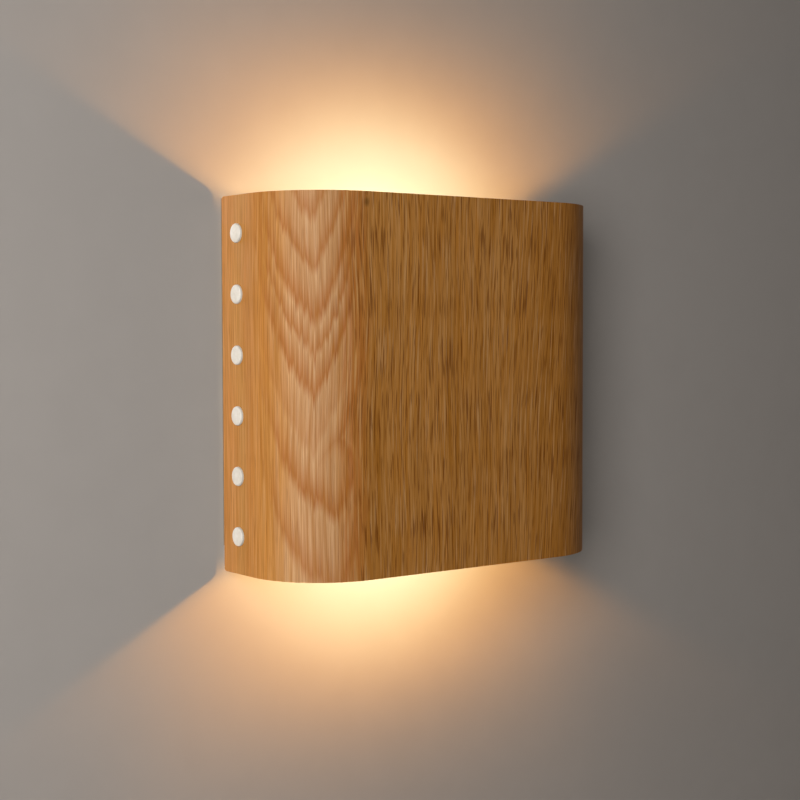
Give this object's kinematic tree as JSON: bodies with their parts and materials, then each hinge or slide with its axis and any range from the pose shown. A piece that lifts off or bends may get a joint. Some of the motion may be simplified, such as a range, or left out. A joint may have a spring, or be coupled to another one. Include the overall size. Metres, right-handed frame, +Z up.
{
  "type": "wall sconce",
  "caption": "Up-and-down wall sconce: a bent wood-veneer shade riveted to a folded steel frame that hangs on a wall bracket, around two capsule bulbs.",
  "frame": {"origin": "middle of the wall bracket's back face, on the wall", "axes": "+X to the right seen from the room, +Y into the wall, +Z up; the lamp stands in front of the wall at negative Y"},
  "size_m": [0.2438, 0.083, 0.22],
  "materials": {
    "oak_veneer": "satin lacquered oak veneer, grain upright",
    "white_lining": "matt white lining",
    "white_powder_coat": "satin white powder coat",
    "zinc_steel": "zinc plated",
    "rivet_nylon": "smooth cream nylon",
    "grommet_rubber": "black rubber",
    "holder_ceramic": "unglazed steatite",
    "contact_bronze": "spring bronze",
    "bulb_plastic": "white moulded plastic",
    "pin_wire": "tinned wire",
    "bulb_glass": "frosted cover, lit warm white",
    "led_board": "phosphor chips on a white board",
    "terminal_nylon": "natural nylon",
    "terminal_brass": "plain brass",
    "brown_insulation": "brown silicone",
    "blue_insulation": "blue silicone",
    "green_yellow_insulation": "green and yellow silicone"
  },
  "bodies": {
    "bracket": {"wall_bracket": "zinc_steel", "hanging_studs": "zinc_steel"},
    "lamp": {"veneer_shade": "oak_veneer", "shade_liner": "white_lining", "back_frame": "white_powder_coat", "rivet_heads_left": "rivet_nylon", "rivet_heads_right": "rivet_nylon", "rivet_backs_left": "rivet_nylon", "rivet_backs_right": "rivet_nylon", "cable_grommet": "grommet_rubber", "lampholder_carrier": "white_powder_coat", "carrier_screws": "zinc_steel", "plate_nuts": "zinc_steel", "upper_lampholder": "holder_ceramic", "lower_lampholder": "holder_ceramic", "upper_contacts": "contact_bronze", "lower_contacts": "contact_bronze", "lampholder_screws": "zinc_steel", "terminal_block": "terminal_nylon", "terminal_barrels": "terminal_brass", "terminal_screws": "zinc_steel", "terminal_fixing_screw": "zinc_steel", "earth_ring_terminal": "pin_wire", "earth_washer": "zinc_steel", "earth_screw": "zinc_steel", "live_leads": "brown_insulation", "neutral_leads": "blue_insulation", "earth_lead": "green_yellow_insulation"},
    "upper_bulb": {"upper_bulb_base": "bulb_plastic", "upper_bulb_pins": "pin_wire", "upper_bulb_envelope": "bulb_glass", "upper_bulb_core": "led_board"},
    "lower_bulb": {"lower_bulb_base": "bulb_plastic", "lower_bulb_pins": "pin_wire", "lower_bulb_envelope": "bulb_glass", "lower_bulb_core": "led_board"}
  },
  "joints": [
    {"name": "lamp_lift", "type": "slide", "parent": "bracket", "child": "lamp", "axis": [0, 0, 1], "range_m": [0, 0.009]},
    {"name": "upper_bulb_pull", "type": "slide", "parent": "lamp", "child": "upper_bulb", "axis": [0, 0, 1], "range_m": [0, 0.095]},
    {"name": "lower_bulb_pull", "type": "slide", "parent": "lamp", "child": "lower_bulb", "axis": [0, 0, -1], "range_m": [0, 0.095]}
  ]
}
